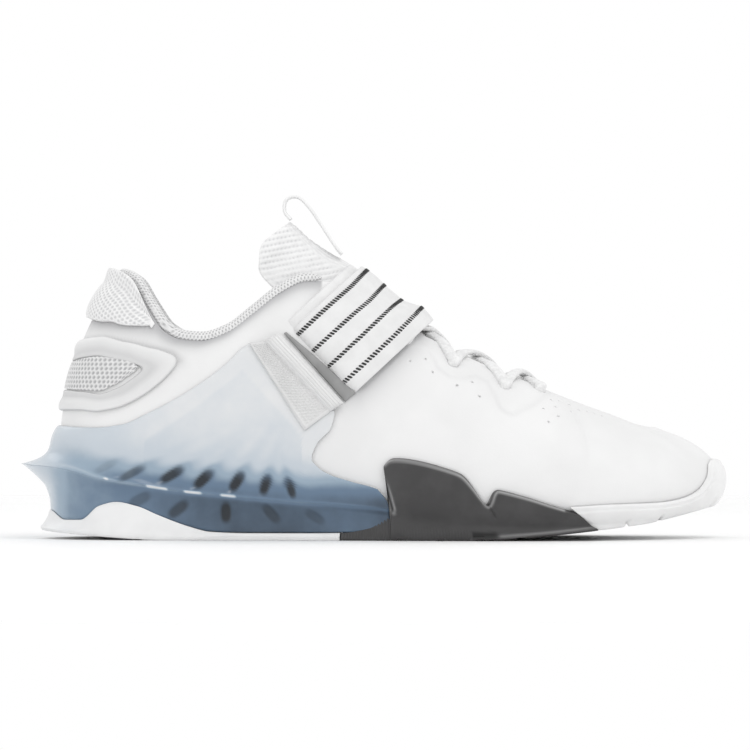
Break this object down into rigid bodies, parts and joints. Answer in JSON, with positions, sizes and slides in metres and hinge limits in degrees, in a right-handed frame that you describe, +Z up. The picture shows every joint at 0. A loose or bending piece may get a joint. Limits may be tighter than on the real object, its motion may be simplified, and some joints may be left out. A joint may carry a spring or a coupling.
{
  "type": "weightlifting shoe",
  "caption": "Low-cut lifting shoe with a flared translucent heel wedge, hollow moulded upper, padded tongue, laces and a wide instep strap.",
  "frame": {"origin": "on the floor plane under the instep, at the flat forefoot outsole", "axes": "+X towards the toe, -Y the outer (lateral) side, +Z up"},
  "size_m": [0.3034, 0.1007, 0.1473],
  "materials": {
    "white_synthetic": "matt moulded synthetic",
    "white_mesh": "knitted mesh",
    "ice_blue_translucent": "glossy translucent",
    "white_rubber": "smooth",
    "dark_grey_rubber": "matt",
    "insole_textile": "matt textile over foam",
    "white_webbing": "woven",
    "white_lace": "woven"
  },
  "bodies": {
    "root": {"upper": "white_synthetic", "insole": "insole_textile", "heel_wedge": "ice_blue_translucent", "outsole_heel": "white_rubber", "outsole_forefoot": "dark_grey_rubber", "outsole_toe": "white_rubber", "collar_roll": "white_mesh", "tongue": "white_mesh", "laces": "white_lace", "strap_lining": "white_webbing", "strap": "white_webbing", "keeper": "white_rubber", "pull_loop": "white_webbing", "heel_pad": "white_mesh", "counter_frame": "white_synthetic", "counter_mesh": "white_mesh"}
  },
  "joints": []
}
